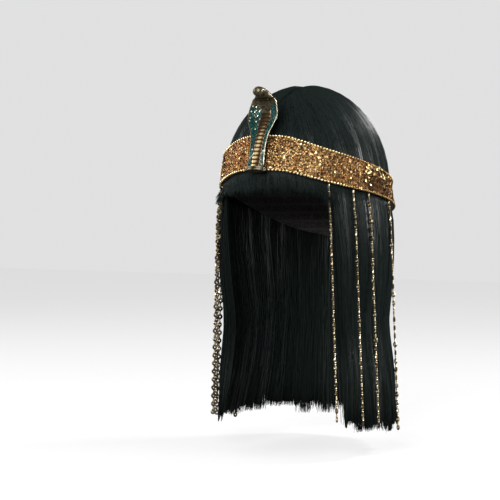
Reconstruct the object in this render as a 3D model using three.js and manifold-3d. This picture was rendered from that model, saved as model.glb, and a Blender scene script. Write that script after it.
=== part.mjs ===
// Egyptian queen wig: straight black hair with a blunt fringe, sewn to a stretch cap, under a
// sequinned gold headband that carries a rearing cobra and hanging strings of gold beads.
// Millimetres, +Z up. The wearer faces -Y and has their left side at +X. The origin is the
// inside of the cap at the crown, where the wig sits on the top of the head.
// Heights are given as a drop below the origin, and places round the head as an angle in
// degrees from the middle of the forehead, positive towards the wearer's left.
import * as THREE from "three";
import { mergeVertices } from "three/addons/utils/BufferGeometryUtils.js";
import Module from "manifold-3d";

const wasm = await Module();
wasm.setup();

// Clearances between neighbouring pieces
const CAP_GAP = 0.8;
const BAND_GAP = 0.5;
const STRING_GAP = 0.5;
const SEAM_GAP = 0.4;

// Head that the cap fits: two half ellipsoids that meet at the widest level
const HEAD = { halfWidth: 75, halfDepth: 94, above: 92, below: 130 };

// Stretch cap, and its lower edge from the forehead to the nape
const CAP_WALL = 1.2;
const CAP_COLUMNS = 34;
const CAP_ROWS = 8;
const CAP_EDGE = [
  { angle: 0, drop: 62 },
  { angle: 45, drop: 76 },
  { angle: 75, drop: 100 },
  { angle: 95, drop: 110 },
  { angle: 135, drop: 134 },
  { angle: 180, drop: 148 },
];

// Hair above its widest level: the upper half of an ellipsoid, with a shallow middle parting
const CROWN = { top: -12, widest: 90, columns: 54, rows: 9 };
const PARTING = { depth: 2.2, halfWidth: 4, front: 62, back: 40, fade: 18 };

// Hair below its widest level: half sizes of the level sections, the wall of hair, and the
// angle at which the hair beside the face begins
const HAIR_FALL = [
  { drop: 90, width: 80, front: 99, back: 99, wall: 2.6, edge: 49 },
  { drop: 125, width: 84, front: 100.5, back: 102, wall: 5.5, edge: 50.5 },
  { drop: 190, width: 83, front: 98, back: 100, wall: 9, edge: 54.5 },
  { drop: 225, width: 79.5, front: 94, back: 97, wall: 9, edge: 57 },
  { drop: 270, width: 84, front: 94, back: 98, wall: 9, edge: 57 },
  { drop: 330, width: 93, front: 96, back: 103, wall: 8, edge: 54 },
];
const SIDE_END = 118;
const HEM = { drop: 330, wall: 2.5, taper: 45, notch: 7, spread: 5 };
const FRINGE = { edge: 48.6, hem: 97, templeDrop: 11, wall: 2.2, notch: 3, spread: 1.5 };
const LOCK = { width: 10, groove: 1.5, fade: 26 };
const FALL_STEPS = [0, 0.05, 0.11, 0.2, 0.33, 0.49, 0.66, 0.84, 1];
const FRINGE_STEPS = [0, 0.22, 0.45, 0.72, 1];

// Sequinned headband: its middle line and height round the head
const BAND_WALL = 2;
const BAND_COLUMNS = 64;
const BAND_ROWS = 3;
const BAND = [
  { angle: 0, drop: 59, height: 33 },
  { angle: 17, drop: 60.5, height: 33 },
  { angle: 45, drop: 71, height: 31.5 },
  { angle: 64, drop: 78, height: 30 },
  { angle: 80, drop: 83.5, height: 28.5 },
  { angle: 102, drop: 91.5, height: 26.5 },
  { angle: 140, drop: 105, height: 25 },
  { angle: 180, drop: 111, height: 24 },
];

// Bead strings on each side of the face, all of one length
const BEAD_DIAMETER = 5.6;
const STRING_LENGTH = 232;
const STRING_ANGLES = [46, 63, 75.5, 99.5];
const STRING_FULLEST = 128;
const STRING_SIDES = 8;
const STRING_STEPS = 16;

// Cobra of moulded plastic, glued to the front of the band. Its sections run up from the
// middle line of the band and on through the head: half sizes, how far the middle of each stands
// off the back, how far the edges of the hood curl forward, and the forward pitch in degrees
const COBRA_BODY = [
  { up: -18.5, width: 9, depth: 2.6, forward: 2.8, curl: 3.7, pitch: 0 },
  { up: -9, width: 8.5, depth: 2.6, forward: 2.8, curl: 4.4, pitch: 0 },
  { up: 2, width: 8.3, depth: 2.6, forward: 2.8, curl: 5.1, pitch: 0 },
  { up: 11.5, width: 9, depth: 2.3, forward: 2.6, curl: 5.4, pitch: 0 },
  { up: 19, width: 10.6, depth: 2.1, forward: 1.9, curl: 5.9, pitch: 0 },
  { up: 25.5, width: 13.5, depth: 1.9, forward: 0.6, curl: 7.4, pitch: 0 },
  { up: 32, width: 15.6, depth: 1.8, forward: -0.9, curl: 8.6, pitch: 0 },
  { up: 38, width: 16.2, depth: 1.8, forward: -1.9, curl: 9.2, pitch: 0 },
  { up: 43.5, width: 14.9, depth: 1.9, forward: -1.2, curl: 9.4, pitch: 0 },
  { up: 48, width: 13.8, depth: 2.4, forward: 0.6, curl: 7.8, pitch: 0 },
  { up: 52, width: 12.8, depth: 3.2, forward: 3.9, curl: 5, pitch: 14 },
];
const COBRA_HEAD = [
  { up: 54.9, width: 9.8, depth: 4.5, forward: 9.4, curl: 2.2, pitch: 48 },
  { up: 55.5, width: 7.3, depth: 5.1, forward: 14.9, curl: 0.6, pitch: 84 },
  { up: 55.1, width: 6.2, depth: 5.1, forward: 20.2, curl: 0, pitch: 100 },
  { up: 54.1, width: 5.2, depth: 4.6, forward: 24.6, curl: 0, pitch: 103 },
  { up: 53.5, width: 3.2, depth: 3.3, forward: 27, curl: 0, pitch: 103 },
];
const COBRA_POINTS = 16;
const BELLY = {
  width: 3.7,
  spread: 0.14,
  depth: 1.8,
  sink: 2.4,
  from: -17.5,
  to: 50,
  ribs: 16,
  relief: 0.5,
  points: 8,
};
const HOOD_RIM = { diameter: 1.8, from: -15.5, to: 51.5, steps: 12, sides: 6 };
const COBRA_EYE = { diameter: 2.6, across: 5.2, up: 57.8, forward: 19 };
const COBRA_FOOT = { width: 9.6, depth: 4.4, height: 4.5, up: -21, ring: 1 };

const HAIR = new THREE.MeshStandardMaterial({ color: 0x0b0d0d, roughness: 0.38 });
const CAP_NET = new THREE.MeshStandardMaterial({ color: 0x14110f, roughness: 0.9 });
const SEQUINS = new THREE.MeshStandardMaterial({ color: 0xb9853f, roughness: 0.3, metalness: 0.9 });
const BRONZE = new THREE.MeshStandardMaterial({ color: 0x1f4a45, roughness: 0.35, metalness: 0.4 });
const GOLD = new THREE.MeshStandardMaterial({ color: 0xc79a45, roughness: 0.25, metalness: 0.95 });

const DEGREE = Math.PI / 180;

// Smooth curve through one column of a table, read at a value of another
function column(table, by, name) {
  const places = table.map((row) => row[by]);
  const values = table.map((row) => row[name]);
  const curve = new THREE.CubicInterpolant(places, values, 1);
  return (at) => curve.evaluate(at)[0];
}

// An angle round the head, folded onto the wearer's left side
const folded = (angle) => Math.abs(((((angle + 180) % 360) + 360) % 360) - 180);

const capEdge = column(CAP_EDGE, "angle", "drop");
const bandDrop = column(BAND, "angle", "drop");
const bandHeight = column(BAND, "angle", "height");
const wallAt = column(HAIR_FALL, "drop", "wall");
const edgeAt = column(HAIR_FALL, "drop", "edge");
const seamAt = (angle) => bandDrop(folded(angle));
const bandFoot = (angle) => seamAt(angle) + bandHeight(folded(angle)) / 2;

// How much the head narrows below its widest level
function headNarrowing(drop) {
  const below = Math.max(0, drop - HEAD.above) / HEAD.below;
  return Math.sqrt(1 - below * below);
}

// Rounded forms that surfaces follow: level sections below the widest level, an ellipsoid above
const headForm = {
  widest: HEAD.above,
  height: HEAD.above,
  width: (drop) => HEAD.halfWidth * headNarrowing(drop),
  front: (drop) => HEAD.halfDepth * headNarrowing(drop),
  back: (drop) => HEAD.halfDepth * headNarrowing(drop),
};
const hairForm = {
  widest: CROWN.widest,
  height: CROWN.widest - CROWN.top,
  width: column(HAIR_FALL, "drop", "width"),
  front: column(HAIR_FALL, "drop", "front"),
  back: column(HAIR_FALL, "drop", "back"),
};

// Point of a form at an angle and a drop, moved out along the normal there
function formPoint(form, angle, drop, out = 0) {
  const turn = angle * DEGREE;
  const width = form.width(drop);
  const depth = Math.cos(turn) > 0 ? form.front(drop) : form.back(drop);
  const height = Math.max(0, form.widest - drop);
  const shrink = Math.sqrt(Math.max(0, 1 - (height / form.height) ** 2));
  const point = new THREE.Vector3(
    width * shrink * Math.sin(turn),
    -depth * shrink * Math.cos(turn),
    -drop,
  );
  const normal = new THREE.Vector3(
    point.x / width ** 2,
    point.y / depth ** 2,
    height / form.height ** 2,
  );
  return point.addScaledVector(normal.normalize(), out);
}

// Geometry from points and quads, with the triangles that a pole flattens left out
function meshed(points, quads) {
  const index = [];
  for (const [a, b, c, d] of quads) {
    for (const [i, j, k] of [[a, b, c], [a, c, d]]) {
      if (i !== j && j !== k && k !== i) index.push(i, j, k);
    }
  }
  return new THREE.BufferGeometry().setFromPoints(points).setIndex(index);
}

// Closed wall between an outer and an inner grid of points, each given as a function of the
// column and row. It may wrap round in a ring, and its first row may be a pole
function wallGeometry({ columns, rows, outer, inner, wraps = false, pole = false }) {
  const points = [];
  const quads = [];
  const columnCount = wraps ? columns : columns + 1;
  const grid = (pointAt) =>
    Array.from({ length: rows + 1 }, (_, row) => {
      const single = pole && row === 0;
      const line = Array.from({ length: single ? 1 : columnCount }, (_, c) => {
        points.push(pointAt(c, row));
        return points.length - 1;
      });
      return (c) => line[single ? 0 : c % columnCount];
    });
  const out = grid(outer);
  const into = grid(inner);
  for (let c = 0; c < columns; c++) {
    for (let r = 0; r < rows; r++) {
      quads.push([out[r](c), out[r + 1](c), out[r + 1](c + 1), out[r](c + 1)]);
      quads.push([into[r](c), into[r](c + 1), into[r + 1](c + 1), into[r + 1](c)]);
    }
    quads.push([out[rows](c + 1), out[rows](c), into[rows](c), into[rows](c + 1)]);
    if (!pole) quads.push([out[0](c), out[0](c + 1), into[0](c + 1), into[0](c)]);
  }
  if (!wraps) {
    for (let r = 0; r < rows; r++) {
      quads.push([out[r + 1](0), out[r](0), into[r](0), into[r + 1](0)]);
      quads.push([out[r](columns), out[r + 1](columns), into[r + 1](columns), into[r](columns)]);
    }
  }
  return meshed(points, quads);
}

// Solid skin over a stack of rings that all have the same number of points, closed at both ends
function loft(rings) {
  const count = rings[0].length;
  const points = rings.flat();
  const quads = [];
  for (let r = 0; r + 1 < rings.length; r++) {
    for (let i = 0; i < count; i++) {
      const next = (i + 1) % count;
      const low = r * count;
      const high = low + count;
      quads.push([low + i, low + next, high + next, high + i]);
    }
  }
  const last = (rings.length - 1) * count;
  for (let i = 1; i + 1 < count; i++) {
    quads.push([0, i + 1, i, 0]);
    quads.push([last, last + i, last + i + 1, last]);
  }
  return meshed(points, quads);
}

function solidOf(geometry) {
  const bare = geometry.clone();
  bare.deleteAttribute("normal");
  bare.deleteAttribute("uv");
  const merged = mergeVertices(bare, 1e-4);
  return new wasm.Manifold(
    new wasm.Mesh({
      numProp: 3,
      vertProperties: new Float32Array(merged.attributes.position.array),
      triVerts: new Uint32Array(merged.index.array),
    }),
  );
}

function geometryOf(solid) {
  const { vertProperties, triVerts } = solid.getMesh();
  return new THREE.BufferGeometry()
    .setAttribute("position", new THREE.BufferAttribute(vertProperties, 3))
    .setIndex(new THREE.BufferAttribute(triVerts, 1));
}

function named(name, geometry, material) {
  const mesh = new THREE.Mesh(geometry, material);
  mesh.name = name;
  return mesh;
}

// Drop of a dome's row: even steps of arc from its pole down to an edge
const domeDrop = (top, edge, part) => top + (edge - top) * (1 - Math.cos((part * Math.PI) / 2));

// Every second column of a hair wall is a groove between two locks
const inGroove = (columnNumber) => columnNumber % 2 === 1;
const lockVariation = (columnNumber) => 0.7 + 0.3 * Math.sin(2.4 * columnNumber);

function capWall() {
  const side = (out) => (c, r) => {
    const angle = (360 * c) / CAP_COLUMNS;
    const drop = domeDrop(0, capEdge(folded(angle)), r / CAP_ROWS);
    return formPoint(headForm, angle, drop, out);
  };
  return wallGeometry({
    columns: CAP_COLUMNS,
    rows: CAP_ROWS,
    outer: side(CAP_WALL),
    inner: side(0),
    wraps: true,
    pole: true,
  });
}

// Depth of the middle parting at a place on the crown, seen from above
function partingDip(x, y) {
  const ahead = THREE.MathUtils.smoothstep(y, -PARTING.front, -PARTING.front + PARTING.fade);
  const behind = 1 - THREE.MathUtils.smoothstep(y, PARTING.back - PARTING.fade, PARTING.back);
  return PARTING.depth * Math.exp(-((x / PARTING.halfWidth) ** 2)) * ahead * behind;
}

// Hair over the skull, combed outwards from the parting and ending under the band
function crownWall() {
  const angleOf = (c) => (360 * c) / CROWN.columns;
  const edgeOf = (c) => seamAt(angleOf(c)) - SEAM_GAP / 2;
  const outer = (c, r) => {
    const part = r / CROWN.rows;
    const combed = Math.sin(Math.PI * Math.min(1, part * 1.25));
    const groove = inGroove(c) ? LOCK.groove * lockVariation(c) * Math.max(0, combed) : 0;
    const drop = domeDrop(CROWN.top, edgeOf(c), part);
    const point = formPoint(hairForm, angleOf(c), drop, -groove);
    point.z -= partingDip(point.x, point.y);
    return point;
  };
  const inner = (c, r) => {
    const drop = domeDrop(0, edgeOf(c), r / CROWN.rows);
    return formPoint(headForm, angleOf(c), drop, CAP_WALL + CAP_GAP);
  };
  const { columns, rows } = CROWN;
  return wallGeometry({ columns, rows, outer, inner, wraps: true, pole: true });
}

// Sheet of hair that falls from under the band, in locks side by side. angleOf gives a column's
// angle at a drop, and hemOf its lower end. The wall thins out over the last stretch
function fallWall({ columns, steps, angleOf, hemOf, hemWall, taper }) {
  const dropAt = (c, r) => {
    const start = seamAt(angleOf(c, 0)) + SEAM_GAP / 2;
    return THREE.MathUtils.lerp(start, hemOf(c), steps[r]);
  };
  const grooveAt = (c, drop, angle) => {
    const shown = THREE.MathUtils.smoothstep(drop, bandFoot(angle), bandFoot(angle) + LOCK.fade);
    return inGroove(c) ? LOCK.groove * lockVariation(c) * shown : 0;
  };
  const side = (isOuter) => (c, r) => {
    const drop = dropAt(c, r);
    const angle = angleOf(c, drop);
    const thinned = THREE.MathUtils.smoothstep(hemOf(c) - drop, 0, taper);
    const wall = THREE.MathUtils.lerp(Math.min(hemWall, wallAt(drop)), wallAt(drop), thinned);
    const spare = wallAt(drop) - wall;
    const out = isOuter ? -grooveAt(c, drop, angle) - spare / 2 : -wall - spare / 2;
    return formPoint(hairForm, angle, drop, out);
  };
  return wallGeometry({
    columns,
    rows: steps.length - 1,
    outer: side(true),
    inner: side(false),
  });
}

// Even number of columns that makes locks of about the stated width along an arc of hair
function lockColumns(fromAngle, toAngle) {
  const meanRadius = (HEAD.halfWidth + HEAD.halfDepth) / 2;
  const arc = Math.abs(toAngle - fromAngle) * DEGREE * meanRadius;
  return 2 * Math.round(arc / LOCK.width);
}

// A lock's end: tips hang low, and the notches between them are cut higher
function raggedHem(drop, c, { notch, spread }) {
  return drop - (inGroove(c) ? notch * lockVariation(c) : 0) - spread * Math.sin(1.7 * c) ** 2;
}

function fringeWall() {
  const columns = lockColumns(-FRINGE.edge, FRINGE.edge);
  const angleOf = (c) => THREE.MathUtils.lerp(-FRINGE.edge, FRINGE.edge, c / columns);
  const hemOf = (c) => {
    const temple = (angleOf(c) / FRINGE.edge) ** 4;
    return raggedHem(FRINGE.hem + FRINGE.templeDrop * temple, c, FRINGE);
  };
  return fallWall({
    columns,
    steps: FRINGE_STEPS,
    angleOf,
    hemOf,
    hemWall: FRINGE.wall,
    taper: HEM.taper / 2,
  });
}

// Hair beside the face. Its front edge swings back from the cheek on the way down
function sideWall(side) {
  const columns = lockColumns(edgeAt(0), SIDE_END);
  const angleOf = (c, drop) => {
    const part = side > 0 ? c / columns : 1 - c / columns;
    return side * THREE.MathUtils.lerp(edgeAt(drop), SIDE_END, part);
  };
  const hemOf = (c) => raggedHem(HEM.drop, c, HEM);
  return fallWall({ columns, steps: FALL_STEPS, angleOf, hemOf, hemWall: HEM.wall, taper: HEM.taper });
}

function backWall() {
  const from = SIDE_END + SEAM_GAP;
  const to = 360 - from;
  const columns = lockColumns(from, to);
  const angleOf = (c) => THREE.MathUtils.lerp(from, to, c / columns);
  const hemOf = (c) => raggedHem(HEM.drop, c, HEM);
  return fallWall({ columns, steps: FALL_STEPS, angleOf, hemOf, hemWall: HEM.wall, taper: HEM.taper });
}

function bandRing() {
  const side = (out) => (c, r) => {
    const angle = (360 * c) / BAND_COLUMNS;
    const height = bandHeight(folded(angle));
    const drop = seamAt(angle) + height * (r / BAND_ROWS - 0.5);
    return formPoint(hairForm, angle, drop, out);
  };
  return wallGeometry({
    columns: BAND_COLUMNS,
    rows: BAND_ROWS,
    outer: side(BAND_GAP + BAND_WALL),
    inner: side(BAND_GAP),
    wraps: true,
  });
}

// Round section of a tube with a stated number of sides
function roundSection(radius, sides) {
  const turn = (i) => (2 * Math.PI * i) / sides;
  const corner = (i) => new THREE.Vector2(radius * Math.cos(turn(i)), radius * Math.sin(turn(i)));
  return new THREE.Shape(Array.from({ length: sides }, (_, i) => corner(i)));
}

function tube(points, diameter, sides, steps) {
  const extrudePath = new THREE.CatmullRomCurve3(points);
  return new THREE.ExtrudeGeometry(roundSection(diameter / 2, sides), {
    steps,
    bevelEnabled: false,
    extrudePath,
  });
}

// Line of a bead string: from the foot of the band, out over the fullest hair, then straight
function stringLine(angle) {
  const out = STRING_GAP + BEAD_DIAMETER / 2;
  const top = formPoint(hairForm, angle, bandFoot(angle) + SEAM_GAP, out);
  const full = formPoint(hairForm, angle, STRING_FULLEST, out);
  const hem = formPoint(hairForm, angle, HEM.drop, out);
  const straight = hem.clone().sub(full).normalize();
  const left = STRING_LENGTH - top.distanceTo(full);
  const along = (part) => full.clone().addScaledVector(straight, left * part);
  return [top, top.clone().lerp(full, 0.5), full, along(0.25), along(0.5), along(0.75), along(1)];
}

const cobraAt = (name) => column(COBRA_BODY, "up", name);
const cobraWidth = cobraAt("width");
const cobraDepth = cobraAt("depth");
const cobraForward = cobraAt("forward");
const cobraCurl = cobraAt("curl");
const cobraPitch = cobraAt("pitch");

// Point of a section: across it, and off its middle towards the cobra's front
function cobraPoint({ up, forward, pitch }, across, front) {
  const turn = pitch * DEGREE;
  return new THREE.Vector3(across, -forward - front * Math.cos(turn), up - front * Math.sin(turn));
}

// Oval ring of a section, with its two sides curled to the front and its middle moved there
function ovalRing(section, { width, depth, curl = 0, front = 0, points }) {
  return Array.from({ length: points }, (_, i) => {
    const turn = (2 * Math.PI * i) / points;
    const across = Math.cos(turn);
    return cobraPoint(section, width * across, front - depth * Math.sin(turn) + curl * across * across);
  });
}

function cobraTrunk() {
  const sections = [...COBRA_BODY, ...COBRA_HEAD];
  return loft(sections.map((section) => ovalRing(section, { ...section, points: COBRA_POINTS })));
}

const cobraSection = (up) => ({ up, forward: cobraForward(up), pitch: cobraPitch(up) });

// Raised belly strip, which widens a little with the hood, with a row of cross scales: each is
// a crest between two grooves
function cobraBelly() {
  const rings = Array.from({ length: 2 * BELLY.ribs + 1 }, (_, i) => {
    const up = THREE.MathUtils.lerp(BELLY.from, BELLY.to, i / (2 * BELLY.ribs));
    const relief = i % 2 === 0 ? 0 : BELLY.relief;
    const { spread, sink, points } = BELLY;
    const width = BELLY.width + spread * cobraWidth(up);
    const curl = cobraCurl(up) * (width / cobraWidth(up)) ** 2;
    const front = cobraDepth(up) + BELLY.depth - sink;
    return ovalRing(cobraSection(up), { width, depth: BELLY.depth + relief, curl, front, points });
  });
  return loft(rings);
}

// Rolled rim along one edge of the hood
function hoodRim(side) {
  const count = HOOD_RIM.steps / 2;
  const points = Array.from({ length: count + 1 }, (_, i) => {
    const up = THREE.MathUtils.lerp(HOOD_RIM.from, HOOD_RIM.to, i / count);
    return cobraPoint(cobraSection(up), side * cobraWidth(up), cobraCurl(up));
  });
  return tube(points, HOOD_RIM.diameter, HOOD_RIM.sides, HOOD_RIM.steps);
}

function cobraEye(side) {
  const { diameter, across, up, forward } = COBRA_EYE;
  return new THREE.SphereGeometry(diameter / 2, 6, 5).translate(side * across, -forward, up);
}

// Stepped foot that finishes the cobra at the lower edge of the band
function cobraFoot() {
  const { width, depth, height, up, ring } = COBRA_FOOT;
  const step = (part, grow) => {
    const section = { up: up + height * part, forward: depth + ring, pitch: 0 };
    return ovalRing(section, { width: width + grow, depth: depth + grow, points: COBRA_POINTS });
  };
  return loft([step(0, 0), step(0.2, ring), step(0.5, ring), step(0.6, 0), step(1, 0)]);
}

function cobraSolid() {
  const pieces = [cobraBelly(), hoodRim(-1), hoodRim(1), cobraEye(-1), cobraEye(1), cobraFoot()];
  const whole = pieces.reduce((body, piece) => body.add(solidOf(piece)), solidOf(cobraTrunk()));
  return geometryOf(whole);
}

// Seat of the cobra: the middle of the band's front, leaning back with the band
function cobraSeat() {
  const middle = formPoint(hairForm, 0, seamAt(0), BAND_GAP + BAND_WALL + SEAM_GAP);
  const above = formPoint(hairForm, 0, seamAt(0) - 1, BAND_GAP + BAND_WALL + SEAM_GAP);
  const seat = new THREE.Group();
  seat.position.copy(middle);
  seat.rotation.x = -Math.atan2(above.y - middle.y, above.z - middle.z);
  return seat;
}

const wig = new THREE.Group();
wig.add(named("wig_cap", capWall(), CAP_NET));
wig.add(named("crown_hair", crownWall(), HAIR));
wig.add(named("fringe", fringeWall(), HAIR));
wig.add(named("back_hair", backWall(), HAIR));
wig.add(named("headband", bandRing(), SEQUINS));
for (const [sideName, side] of [["left", 1], ["right", -1]]) {
  wig.add(named(`side_hair_${sideName}`, sideWall(side), HAIR));
  STRING_ANGLES.forEach((angle, i) => {
    const line = tube(stringLine(side * angle), BEAD_DIAMETER, STRING_SIDES, STRING_STEPS);
    wig.add(named(`bead_string_${sideName}_${i + 1}`, line, GOLD));
  });
}
const seat = cobraSeat();
seat.add(named("cobra", cobraSolid(), BRONZE));
wig.add(seat);

export default wig;
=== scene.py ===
# Egyptian queen wig: straight black hair with a blunt fringe on a net cap, under a sequinned gold
# headband with a rearing cobra and hanging strings of beads. The fringe faces -Y.
# Sizes are millimetres unless a name says otherwise: drops below the crown, and angles in degrees
# from the middle of the fringe.
import math

import bpy
import numpy as np
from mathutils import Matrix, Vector


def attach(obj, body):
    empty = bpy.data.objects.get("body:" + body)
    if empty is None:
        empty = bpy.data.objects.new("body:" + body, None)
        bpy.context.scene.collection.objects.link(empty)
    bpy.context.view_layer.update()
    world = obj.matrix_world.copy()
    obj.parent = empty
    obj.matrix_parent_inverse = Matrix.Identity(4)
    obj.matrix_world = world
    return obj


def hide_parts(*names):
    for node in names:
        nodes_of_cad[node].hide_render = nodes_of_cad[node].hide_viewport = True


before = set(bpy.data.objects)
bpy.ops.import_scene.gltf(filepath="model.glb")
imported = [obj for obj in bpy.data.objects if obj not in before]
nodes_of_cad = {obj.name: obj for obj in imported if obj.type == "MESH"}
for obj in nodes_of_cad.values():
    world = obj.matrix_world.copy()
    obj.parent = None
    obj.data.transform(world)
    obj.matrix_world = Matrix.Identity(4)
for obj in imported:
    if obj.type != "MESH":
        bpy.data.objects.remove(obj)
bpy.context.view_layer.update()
MM = 0.001
bpy.ops.object.select_all(action="DESELECT")


# Wig cap: a stretch cap of black net with sewn elastic rows, which carries the hair.
# It shows only from below, inside the hollow for the head. Its solid keeps its own shape.
def new_finish(name, roughness, metallic=0.0):
    material = bpy.data.materials.new(name)
    material.use_nodes = True
    shader = material.node_tree.nodes["Principled BSDF"]
    shader.inputs["Roughness"].default_value = roughness
    shader.inputs["Metallic"].default_value = metallic
    return material, material.node_tree.nodes, material.node_tree.links, shader


def math_node(nodes, links, operation, first, second=0.0):
    node = nodes.new("ShaderNodeMath")
    node.operation = operation
    for socket, value in zip(node.inputs, (first, second)):
        if isinstance(value, (int, float)):
            socket.default_value = value
        else:
            links.new(value, socket)
    return node.outputs[0]


def colour_ramp(nodes, links, factor, stops):
    node = nodes.new("ShaderNodeValToRGB")
    links.new(factor, node.inputs["Fac"])
    while len(node.color_ramp.elements) < len(stops):
        node.color_ramp.elements.new(0.5)
    for element, (place, colour) in zip(node.color_ramp.elements, stops):
        element.position = place
        element.color = (*colour, 1.0)
    return node.outputs["Color"]


def bump_into(nodes, links, shader, height, distance_mm, strength=1.0):
    bump = nodes.new("ShaderNodeBump")
    bump.inputs["Distance"].default_value = distance_mm * MM
    bump.inputs["Strength"].default_value = strength
    links.new(height, bump.inputs["Height"])
    links.new(bump.outputs["Normal"], shader.inputs["Normal"])


CAP_ROW_PITCH = 9.0
CAP_ROW_FROM = 0.72
CAP_NET_CELL = 2.4
CAP_THREAD_SHARE = 0.13
CAP_NET_TINTS = [(0, (0.012, 0.011, 0.011)), (1, (0.055, 0.05, 0.048))]

cap_net, nodes, links, shader = new_finish("cap_net", 0.85)
place = nodes.new("ShaderNodeTexCoord").outputs["Object"]
axes = nodes.new("ShaderNodeSeparateXYZ")
links.new(place, axes.inputs[0])
rows_down = math_node(nodes, links, "DIVIDE", axes.outputs["Z"], CAP_ROW_PITCH * MM)
row = math_node(nodes, links, "FRACT", rows_down)
sewn_row = math_node(nodes, links, "GREATER_THAN", row, CAP_ROW_FROM)
net = nodes.new("ShaderNodeTexVoronoi")
net.feature = "DISTANCE_TO_EDGE"
net.inputs["Scale"].default_value = 1 / (CAP_NET_CELL * MM)
links.new(place, net.inputs["Vector"])
thread = math_node(nodes, links, "LESS_THAN", net.outputs["Distance"], CAP_THREAD_SHARE)
raised = math_node(nodes, links, "MAXIMUM", sewn_row, thread)
links.new(colour_ramp(nodes, links, raised, CAP_NET_TINTS), shader.inputs["Base Color"])
bump_into(nodes, links, shader, raised, 0.5)
wig_cap = nodes_of_cad["wig_cap"]
wig_cap.data.materials.clear()
wig_cap.data.materials.append(cap_net)


# Hair: straight black synthetic fibre, sewn to the cap in rows and combed out from a middle
# parting. Each section is a matted mass with loose strands over it, cut blunt at the fringe.
def smooth_curve(places, values):
    places = np.array(places, float)
    values = np.array(values, float)
    slopes = np.gradient(values, places)

    def at(x):
        x = np.clip(x, places[0], places[-1])
        low = np.clip(np.searchsorted(places, x) - 1, 0, len(places) - 2)
        span = places[low + 1] - places[low]
        t = (x - places[low]) / span
        start = values[low] * (1 + 2 * t) * (1 - t) ** 2 + slopes[low] * span * t * (1 - t) ** 2
        end = values[low + 1] * t**2 * (3 - 2 * t) + slopes[low + 1] * span * t**2 * (t - 1)
        return start + end

    return at


def ease(x, low, high):
    t = np.clip((x - low) / (high - low), 0, 1)
    return t * t * (3 - 2 * t)


FALL_DROPS = [90, 125, 190, 225, 270, 330]
hair_width = smooth_curve(FALL_DROPS, [80, 84, 83, 79.5, 84, 93])
hair_front = smooth_curve(FALL_DROPS, [99, 100.5, 98, 94, 94, 96])
hair_back = smooth_curve(FALL_DROPS, [99, 102, 100, 97, 98, 103])
hair_wall = smooth_curve(FALL_DROPS, [2.6, 5.5, 9, 9, 9, 8])
face_edge = smooth_curve(FALL_DROPS, [49, 50.5, 54.5, 57, 57, 54])
HAIR_WIDEST = 90
DOME_HEIGHT = 102
DOME_HALF = np.array([80, 99, DOME_HEIGHT])
BAND_ANGLES = [0, 17, 45, 64, 80, 102, 140, 180]
band_middle = smooth_curve(BAND_ANGLES, [59, 60.5, 71, 78, 83.5, 91.5, 105, 111])
band_height = smooth_curve(BAND_ANGLES, [33, 33, 31.5, 30, 28.5, 26.5, 25, 24])


def folded(angle):
    return np.abs((angle + 180) % 360 - 180)


def band_top(angle):
    return band_middle(folded(angle)) - band_height(folded(angle)) / 2


def band_foot(angle):
    return band_middle(folded(angle)) + band_height(folded(angle)) / 2


def unit(vectors):
    return vectors / np.linalg.norm(vectors, axis=-1, keepdims=True)


# Points on the outside of the hair, moved out along the normals there, with those normals
def hair_points(angle, drop, out):
    angle, drop, out = np.broadcast_arrays(angle, drop, out)
    turn = np.radians(angle)
    width = hair_width(drop)
    depth = np.where(np.cos(turn) > 0, hair_front(drop), hair_back(drop))
    height = np.maximum(0, HAIR_WIDEST - drop)
    shrink = np.sqrt(np.maximum(0, 1 - (height / DOME_HEIGHT) ** 2))
    point = np.stack([width * shrink * np.sin(turn), -depth * shrink * np.cos(turn), -drop], -1)
    normal = np.stack([point[..., 0] / width**2, point[..., 1] / depth**2, height / DOME_HEIGHT**2], -1)
    normal = unit(normal)
    return point + normal * out[..., None], normal


# The two values that point_map keeps for each point, as sockets
def mapped_values(nodes, links, name):
    value_map = nodes.new("ShaderNodeUVMap")
    value_map.uv_map = name
    values = nodes.new("ShaderNodeSeparateXYZ")
    links.new(value_map.outputs["UV"], values.inputs[0])
    return values.outputs["X"], values.outputs["Y"]


HAIR_BLACK = (0.0085, 0.0125, 0.0115)
HAIR_CHARCOAL = (0.014, 0.02, 0.0185)
FIBRE_TINTS = [(0, HAIR_BLACK), (0.8, HAIR_BLACK), (1, HAIR_CHARCOAL)]
MASS_TINTS = [(0.35, HAIR_BLACK), (0.75, HAIR_CHARCOAL)]
DULL_SHADE, DULL_SHEEN, FULL_SHEEN, PLAIN_SHEEN = 0.45, 0.04, 1.0, 0.2

hair_fibre, nodes, links, shader = new_finish("hair_fibre", 0.3)
fibre_shade, fibre_gloss = mapped_values(nodes, links, "strand")
links.new(colour_ramp(nodes, links, fibre_shade, FIBRE_TINTS), shader.inputs["Base Color"])
sheen = nodes.new("ShaderNodeMapRange")
sheen.interpolation_type = "SMOOTHSTEP"
sheen.inputs["From Min"].default_value = DULL_SHADE
sheen.inputs["To Min"].default_value = DULL_SHEEN
sheen.inputs["To Max"].default_value = FULL_SHEEN
links.new(fibre_shade, sheen.inputs["Value"])
shader.inputs["Specular IOR Level"].default_value = PLAIN_SHEEN
fibre_sheen = math_node(nodes, links, "MULTIPLY", sheen.outputs["Result"], fibre_gloss)
links.new(fibre_sheen, shader.inputs["Specular IOR Level"])

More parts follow.
